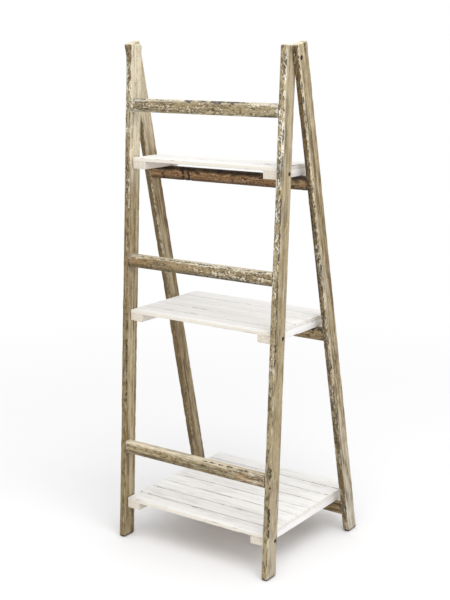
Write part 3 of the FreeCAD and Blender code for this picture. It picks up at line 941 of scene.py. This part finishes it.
def dark_steel():
    finish, tree, shader = start_finish("dark_steel")
    where = room_place(tree)
    sheen = fade(mottle(where, size=2.0, detail=4, rough=0.6), 0.45, 0.7)
    rusted = fade(mottle(where, size=1.2, rough=0.6), 0.58, 0.7)
    feed(shader, {
        "Base Color": coat(coat(BLACK_STEEL, STEEL_SHEEN, sheen), RUST, rusted),
        "Roughness": 0.35 + mottle(where, size=1.5) * 0.3,
        "Metallic": 0.8,
    })
    return finish


def painted_steel():
    finish, tree, shader = start_finish("painted_steel")
    where = room_place(tree)
    worn = fade(mottle(where, size=2.0, detail=4, rough=0.6), 0.55, 0.65)
    paint = coat(SHADE_BROWN, FACE_KHAKI, mottle(where, size=3.0))
    feed(shader, {"Base Color": coat(paint, BLACK_STEEL, worn), "Metallic": worn, "Roughness": 0.6})
    return finish


DARK_STEEL = dark_steel()
PAINTED_STEEL = painted_steel()


def point_out(side, x, y, z):
    """Turns hardware made along z so that it points out to a side, from a place on its axis."""
    return Matrix.Translation((side * x, y, z)) @ Matrix.Rotation(side * math.pi / 2, 4, "Y")


def draw_shank(metal, under, head_radius, shank_radius, length):
    """Draws a shank down from the underside of a head, and gives its tip."""
    bmesh.ops.inset_individual(metal, faces=[under], thickness=head_radius - shank_radius)
    tip = bmesh.ops.extrude_discrete_faces(metal, faces=[under])["faces"][0]
    bmesh.ops.translate(metal, vec=-UP * length, verts=tip.verts[:])
    return tip


def raise_faces(metal, faces, by, keep=False):
    """Extrudes faces along z."""
    raised = bmesh.ops.extrude_face_region(metal, geom=faces, use_keep_orig=keep)["geom"]
    verts = [item for item in raised if isinstance(item, bmesh.types.BMVert)]
    bmesh.ops.translate(metal, vec=UP * by, verts=verts)


def turn_screw(metal, head_radius, head_thickness, shank_radius, length):
    """A screw along z with its head's outer face at 0, the rim eased and a cross sunk in it."""
    bmesh.ops.create_cone(
        metal, cap_ends=True, segments=HEAD_SIDES, radius1=head_radius, radius2=head_radius,
        depth=head_thickness, matrix=Matrix.Translation(-UP * head_thickness / 2),
    )
    top = next(face for face in metal.faces if face.normal.z > FLAT_ON)
    under = next(face for face in metal.faces if face.normal.z < -FLAT_ON)
    ease_edges(metal, top.edges[:], HEAD_EASE)
    flats = [face for face in metal.faces if len(face.verts) == HEAD_SIDES]
    top = next(face for face in flats if face.normal.z > FLAT_ON)
    tip = draw_shank(metal, under, head_radius, shank_radius, length - head_thickness)
    ease_edges(metal, tip.edges[:], HEAD_EASE, 1)
    reach = head_radius * CROSS_SHARE
    cross = [top]
    for across in (ACROSS, Vector((0, 1, 0))):
        for offset in (-reach, -CROSS_WIDTH / 2, CROSS_WIDTH / 2, reach):
            geometry = {*cross}
            for face in cross:
                geometry.update(face.edges)
                geometry.update(face.verts)
            cut = bmesh.ops.bisect_plane(
                metal, geom=list(geometry), plane_co=across * offset, plane_no=across
            )
            cross = [item for item in cut["geom"] if isinstance(item, bmesh.types.BMFace)]
    sunk = []
    for face in cross:
        centre = face.calc_center_median()
        near, far = sorted((abs(centre.x), abs(centre.y)))
        if near < CROSS_WIDTH / 2 and far < reach:
            sunk.append(face)
    raise_faces(metal, sunk, -CROSS_DEPTH)


def cut_ring(metal, radius, bore, thickness):
    """A flat ring along z, from 0 to its thickness."""
    outer = bmesh.ops.create_circle(metal, segments=HEAD_SIDES, radius=radius)["verts"]
    inner = bmesh.ops.create_circle(metal, segments=HEAD_SIDES, radius=bore)["verts"]
    rims = list({edge for vert in outer + inner for edge in vert.link_edges})
    ring = bmesh.ops.bridge_loops(metal, edges=rims)["faces"]
    raise_faces(metal, ring, thickness, keep=True)
    bmesh.ops.recalc_face_normals(metal, faces=metal.faces)
    ease_edges(metal, sharp_edges(metal), RING_EASE, 1)


def hang_hardware(name, make, sizes, places, finish, body, node):
    """Joins hardware of one kind, each made and then moved to its place, into one piece."""
    gathered = bmesh.new()
    for place in places:
        metal = bmesh.new()
        make(metal, **sizes)
        bmesh.ops.transform(metal, matrix=place, verts=metal.verts)
        bmesh.ops.recalc_face_normals(metal, faces=metal.faces)
        smooth_faces(metal)
        one = bpy.data.meshes.new(name + "_one")
        metal.to_mesh(one)
        metal.free()
        gathered.from_mesh(one)
        bpy.data.meshes.remove(one)
    hang_piece(name, gathered, finish, body, node)


HINGE_HARDWARE = {
    "hinge_screws": (turn_screw, HINGE_SCREW, HINGE_HEAD_FACE, DARK_STEEL),
    "hinge_spacers": (cut_ring, HINGE_SPACER, SPACER_INNER_FACE, PAINTED_STEEL),
}
for node, (make, sizes, x, finish) in HINGE_HARDWARE.items():
    places = [point_out(side, x, HINGE.y, HINGE.z) for side in SIDES.values()]
    hang_hardware(node + "_steel", make, sizes, places, finish, "front_frame", node)


# Shelf slats
# Thin softwood slats, whitewashed on the top and edges with the grain showing faintly through.
# Each is nailed to a batten at both ends; a narrow gap between neighbours shows as a grey line of grime and
# painted shade.
REARWARD = Vector((0, 1, 0))
SLAT_LAY = (UP, REARWARD, -ACROSS)
SLAT_ROUND = 0.0005
SHELF_WEAR_DEPTH = 0.0004
SLAT_COUNTS = {"bottom": 8, "middle": 5, "top": 3}
SLAT_LOT_STEP = 0.37
# Grime and painted shade for each shelf's slats, in the gaps and as grey smudges on top; most on the bottom
# shelf, which lies in the shade of the shelves above
SLAT_GRIME_AND_SHADE = {"bottom": 0.5, "middle": 0.12, "top": 0.0}
TOP_REAR = (1, 1)
SLAT_SCUFFS = {
    "bottom_shelf_slat_1": [(TOP_REAR, 0.02, 0.034, 2.5)],
    "bottom_shelf_slat_2": [(TOP_REAR, -0.07, -0.045, 1.2)],
    "bottom_shelf_slat_3": [(TOP_REAR, -0.01, 0.03, 1.5)],
    "top_shelf_slat_1": [(TOP_REAR, -0.182, -0.12, 2.5)],
    "top_shelf_slat_2": [(TOP_FRONT, -0.182, -0.12, 2.5)],
}
WHITEWASH = card(250, 249, 247)
WASH_STREAK = card(234, 232, 228)
WASH_CREAM = card(229, 222, 208)
END_GRAIN = card(222, 213, 197)
BARE_PINE = card(178, 150, 114)
GREY_GRAIN = card(112, 106, 99)
GAP_GRIME_AND_SHADE = card(128, 126, 124)
# From a board's end, in millimetres, the gap grime and painted shade fade in; the gaps over the battens are
# lit
GAP_GRIME_AND_SHADE_FROM_END = (16.0, 26.0)
SAWN_END = (1.2, 0.3)
GAP_MIDDLE = 0.995
WASH_BARE_REACH = 2.4


def wash_colour(wood, end_share):
    """White wash, streaked and smudged, that is thin in places and on a share of the sawn ends."""
    gap_side = wood.lot[1]
    colour = coat(WHITEWASH, WASH_STREAK, fade(wood.band, 0.46, 0.7) * 0.8)
    colour = coat(colour, GREY_GRAIN, fade(wood.fibre, 0.6, 0.8) * 0.3)
    colour = coat(colour, WASH_CREAM, wood.front * most(gap_side, 0.0) * 0.85)
    # Grey smudges as far as the board's tint, its amount of grime and painted shade
    smudge = mottle(wood.place, size=16.0, detail=4, rough=0.6, along=0.3)
    colour = coat(colour, GREY_GRAIN, fade(smudge, 0.48, 0.68) * wood.tint * 0.28)
    pores = mottle(wood.place, size=2.5, rough=0.6)
    end_wood = coat(END_GRAIN, BARE_PINE, fade(pores, 0.5, 0.64) * 0.75)
    colour = coat(colour, end_wood, fade(wood.from_end, *SAWN_END) * end_share)
    thin = mottle(wood.place, size=4.0, detail=5, rough=0.62, along=0.12)
    return coat(colour, BARE_PINE, fade(thin, 0.69, 0.74) * 0.45)


def gap_grime_and_shade(wood, gap_edge):
    """How far broken grime and painted shade lie on the edges that face a gap, away from the ends of the
    board, where the gaps lie over the battens and are lit.
    """
    gap_side = wood.lot[1]
    to_gap = most(wood.depth_side * gap_side, 0.0) + (1.0 - abs(gap_side))
    in_gap = fade(abs(wood.depth_side), gap_edge, GAP_MIDDLE) * to_gap
    broken = mottle(wood.place, size=6.0, rough=0.6, along=0.1)
    return in_gap * fade(broken, 0.36, 0.56) * wood.tint * fade(wood.from_end, *GAP_GRIME_AND_SHADE_FROM_END)


def whitewash(name, bare_share, end_share, gap_edge):
    """Thin white wash that leaves shares of the hidden face and the ends bare, and grime with painted shade
    in gaps.
    """
    finish, tree, shader = start_finish(name)
    wood = read_board(tree)
    reach = wood.bare * mottle(wood.place, size=4.0, detail=4, rough=0.6) * WASH_BARE_REACH
    bared = fade(wood.arris - reach, 0.2, -0.3)
    colour = coat(wash_colour(wood, end_share), GREY_GRAIN, bared * 0.8)
    colour = coat(colour, GAP_GRIME_AND_SHADE, gap_grime_and_shade(wood, gap_edge))
    hidden = fade(wood.width_side * wood.lot[2], 0.94, 0.99)
    pine = coat(BARE_PINE, WASH_STREAK, fade(wood.band, 0.5, 0.8))
    feed(shader, {
        "Base Color": coat(colour, pine, hidden * bare_share),
        "Roughness": 0.55 + wood.fibre * 0.3,
        "Specular IOR Level": 0.3,
        "Normal": bump(wood.fibre * 0.5 - bared, strength=0.4, distance=0.0004),
    })
    return finish


SLAT_WASH = whitewash("whitewashed_slat", bare_share=0.5, end_share=0.3, gap_edge=0.97)


def shelf_board(shelf, part, lay, lot, round_by, finish, grime_and_shade=0.0, trim=None):
    """A squared board of a shelf, in the box of its CAD node, with all its edges eased."""
    body = shelf + "_shelf"
    node = body + "_" + part
    low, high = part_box(node)
    size = (high - low) / 2
    half = Vector([abs(size.dot(direction)) for direction in lay])
    place = stand_board((low + high) / 2, *lay)
    board = saw_board(half)
    if trim:
        saw_off(board, place, Vector((0, low.y, high.z)), trim)
    ease_edges(board, sharp_edges(board), round_by)
    rule_lines(board, half)
    wear_board(board, half, SHELF_WEAR_DEPTH, lot, SLAT_SCUFFS.get(node, ()), tints=all_along(grime_and_shade))
    hang_board(node + "_board", board, place, finish, body, node)


for shelf, count in SLAT_COUNTS.items():
    for number in range(1, count + 1):
        gap_side = {1: 1, count: -1}.get(number, 0)
        lot = (SLAT_LOT_STEP * number + count, gap_side, -1)
        shelf_board(shelf, "slat_" + str(number), SLAT_LAY, lot, SLAT_ROUND, SLAT_WASH, SLAT_GRIME_AND_SHADE[shelf])


# Brads
# Small wire nails, two at each end of a slat, driven into the batten under it.
# Their heads stand a hair proud and are painted over with the whitewash, chipped grey in places.
BRAD = {"head_radius": 0.0015, "shank_radius": 0.0008, "length": 0.0175}
BRAD_PROUD = 0.0002
BRAD_FROM_SLAT_END = 0.008
BRAD_FROM_SLAT_EDGE = 0.009
BRAD_SIDES = 10


def painted_brad():
    finish, tree, shader = start_finish("painted_brad")
    where = room_place(tree)
    chipped = fade(mottle(where, size=1.5, rough=0.6), 0.6, 0.7)
    feed(shader, {
        "Base Color": coat(WASH_STREAK, GREY_GRAIN, chipped),
        "Roughness": 0.65 - chipped * 0.2,
    })
    return finish


def make_brad(metal, head_radius, shank_radius, length):
    """A brad along z whose tapered head stands proud of 0."""
    bmesh.ops.create_cone(
        metal, cap_ends=True, segments=BRAD_SIDES, radius1=head_radius, radius2=head_radius / 2,
        depth=BRAD_PROUD * 2,
    )
    under = next(face for face in metal.faces if face.normal.z < -FLAT_ON)
    draw_shank(metal, under, head_radius, shank_radius, length)


PAINTED_BRAD = painted_brad()
for shelf, count in SLAT_COUNTS.items():
    places = []
    for number in range(1, count + 1):
        low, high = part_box(shelf + "_shelf_slat_" + str(number))
        for x in (low.x + BRAD_FROM_SLAT_END, high.x - BRAD_FROM_SLAT_END):
            for y in (low.y + BRAD_FROM_SLAT_EDGE, high.y - BRAD_FROM_SLAT_EDGE):
                places.append(Matrix.Translation((x, y, high.z)))
    body = shelf + "_shelf"
    node = body + "_brads"
    hang_hardware(node + "_painted", make_brad, BRAD, places, PAINTED_BRAD, body, node)


# Battens and stop cleats
# Two short battens under each shelf carry its slats; they are whitewashed, thinly on the inner faces.
# A cleat screwed under each batten hooks behind the rear rung, so that the legs can't splay.
BATTEN_LAY = (ACROSS, -UP, REARWARD)
BATTEN_ROUND = 0.0008
BATTEN_LOT_STEP = 4.3
# Grime and painted shade along the top of each batten, where the slats lie on it
BATTEN_GRIME_AND_SHADE = {"bottom": 0.2, "middle": 0.2, "top": 0.9}
BATTEN_WASH = whitewash("whitewashed_batten", bare_share=0.4, end_share=0.85, gap_edge=0.78)

for shelf, count in SLAT_COUNTS.items():
    for side_name, side in SIDES.items():
        lot = (BATTEN_LOT_STEP * count + side, -1, -side)
        shelf_board(shelf, "batten_" + side_name, BATTEN_LAY, lot, BATTEN_ROUND, BATTEN_WASH,
                    BATTEN_GRIME_AND_SHADE[shelf])
        shelf_board(shelf, "stop_cleat_" + side_name, BATTEN_LAY, lot, BATTEN_ROUND, BATTEN_WASH,
                    trim=-REAR_BACK)


# Pivot screws, washers and stop screws
# Blackened screws that the shelves swing on, let into the outside of the front legs and turned into
# the battens, each with a washer between leg and batten; smaller screws hold the stop cleats.
PIVOT_SHANK_RADIUS = 0.0025
PIVOT_SCREW = {
    "head_radius": 0.004, "head_thickness": 0.0025, "shank_radius": PIVOT_SHANK_RADIUS, "length": 0.0385,
}
PIVOT_HEAD_FACE = 0.198
PIVOT_WASHER = {"radius": 0.005, "bore": PIVOT_SHANK_RADIUS, "thickness": 0.002}
PIVOT_WASHER_INNER_FACE = 0.1815
PIVOT_HARDWARE = {
    "screws": (turn_screw, PIVOT_SCREW, PIVOT_HEAD_FACE),
    "washers": (cut_ring, PIVOT_WASHER, PIVOT_WASHER_INNER_FACE),
}

for body, pivot in PIVOTS.items():
    for kind, (make, sizes, x) in PIVOT_HARDWARE.items():
        node = body + "_pivot_" + kind
        places = [point_out(side, x, pivot.y, pivot.z) for side in SIDES.values()]
        hang_hardware(node + "_steel", make, sizes, places, DARK_STEEL, body, node)
    frame["nodes"][body + "_stop_screws"].material_slots[0].material = DARK_STEEL


# Floor
# A plain pale floor, matt and without grain, that the four feet stand on.
# It keeps the object's shadow near it and runs out to white.
FLOOR_HALF = 14.0
FLOOR_WHITE = card(247, 247, 248)
FLOOR_FADE = (0.5, 2.2)
WHITE = (1, 1, 1, 1)


def seen_rays(tree):
    """1 for what the camera sees, straight or in a shine, and 0 for the light that pieces get."""
    path = add_node(tree, "LightPath").outputs
    kinds = ("Is Camera Ray", "Is Glossy Ray", "Is Transmission Ray")
    return most(*[Amount(path[kind]) for kind in kinds])


def pale_floor():
    finish, tree, shader = start_finish("pale_floor")
    feed(shader, {"Base Color": FLOOR_WHITE, "Roughness": 0.9, "Specular IOR Level": 0.0})
    where = take(tree, "TexCoord", "Object")
    away = take(tree, "VectorMath", "Value", {0: where}, operation="LENGTH")
    white = take(tree, "Emission", 0, {"Color": WHITE, "Strength": 1.0})
    share = fade(away, *FLOOR_FADE) * seen_rays(tree)
    mixed = take(tree, "MixShader", 0, {0: share, 1: Amount(shader.outputs[0]), 2: white})
    feed(tree.nodes["Material Output"], {"Surface": mixed})
    return finish


floor_mesh = bpy.data.meshes.new("floor")
floor_plan = bmesh.new()
bmesh.ops.create_grid(floor_plan, x_segments=1, y_segments=1, size=FLOOR_HALF)
floor_plan.to_mesh(floor_mesh)
floor_plan.free()
floor_mesh.materials.append(pale_floor())
floor = bpy.data.objects.new("floor", floor_mesh)
bpy.context.scene.collection.objects.link(floor)
floor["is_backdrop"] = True


# Light
# An even white surround that lights all sides alike, as in a bright studio.
# A wide soft lamp hangs above, a little to the right and front, and gives the shadow on the floor.
SURROUND_STRENGTH = 0.8
KEY_PLACE = Vector((1.3, -1.2, 3.4))
KEY_AIM = Vector((0, 0, 0.5))
KEY_SIZE = 3.0
KEY_POWER = 66.0

world = bpy.data.worlds.new("surround")
world.use_nodes = True
bpy.context.scene.world = world
sky = world.node_tree
strength_range = {"Value": seen_rays(sky), "To Min": SURROUND_STRENGTH, "To Max": 1.0}
feed(sky.nodes["Background"], {"Color": WHITE, "Strength": take(sky, "MapRange", "Result", strength_range)})

key = bpy.data.objects.new("key_lamp", bpy.data.lights.new("key_lamp", "AREA"))
key.data.shape = "DISK"
key.data.size = KEY_SIZE
key.data.energy = KEY_POWER
key.location = KEY_PLACE
key.rotation_euler = (KEY_AIM - KEY_PLACE).to_track_quat("-Z", "Y").to_euler()
bpy.context.scene.collection.objects.link(key)


# Camera
# It stands to the right of the front, level with the shelf's top, and looks slightly down.
# The place, the look and the lens were fitted to the edges of the legs, rungs and shelves.
CAMERA_PLACE = Vector((1.393914, -2.036201, 1.091514))
CAMERA_LOOK = Vector((-0.5610, 0.7983, -0.2191))
CAMERA_LENS = 69.39
CAMERA_SENSOR = 36.0

camera = bpy.data.objects.new("camera", bpy.data.cameras.new("camera"))
camera.data.lens = CAMERA_LENS
camera.data.sensor_width = CAMERA_SENSOR
camera.location = CAMERA_PLACE
camera.rotation_euler = CAMERA_LOOK.to_track_quat("-Z", "Y").to_euler()
bpy.context.scene.collection.objects.link(camera)
bpy.context.scene.camera = camera
bpy.context.scene.view_settings.view_transform = "Standard"

low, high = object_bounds()
